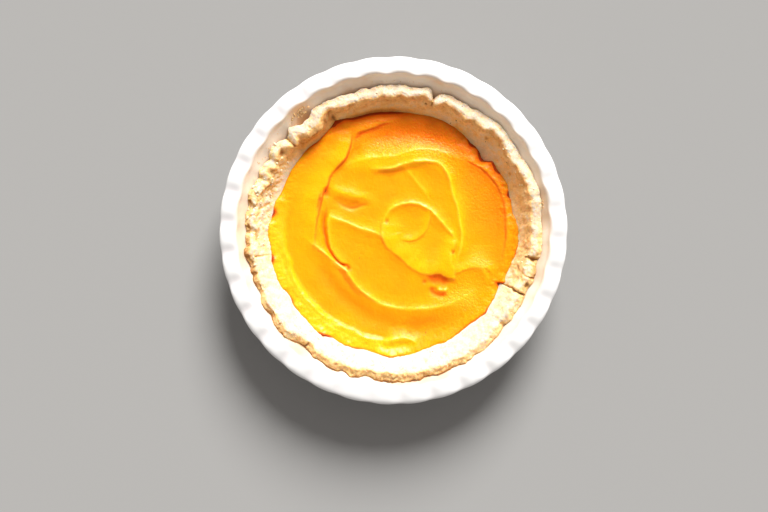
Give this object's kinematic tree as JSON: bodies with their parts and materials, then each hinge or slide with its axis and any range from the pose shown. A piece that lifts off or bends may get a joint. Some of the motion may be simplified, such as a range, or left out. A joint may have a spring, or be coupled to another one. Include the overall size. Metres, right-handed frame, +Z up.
{
  "type": "pumpkin quiche",
  "caption": "Open pumpkin quiche: a crumbly shortcrust shell filled with smooth swirled pumpkin puree, set in a round white fluted ceramic pie dish",
  "frame": {"origin": "centre of the dish on the plane that its foot ring stands on", "axes": "+Z up along the dish's axis, +X to the picture's right and +Y to the picture's top"},
  "size_m": [0.2524, 0.2524, 0.0446],
  "materials": {
    "white_glaze": "smooth glossy white glaze, pooled a little thicker in the flutes",
    "baked_shortcrust": "dry, matt and crumbly, pale on its faces and browned on its edges, with specks of dried herb",
    "pumpkin_puree": "moist, finely grained, with a soft shine on the ridges of its swirls"
  },
  "bodies": {
    "root": {"dish": "white_glaze", "crust": "baked_shortcrust", "filling": "pumpkin_puree"}
  },
  "joints": []
}
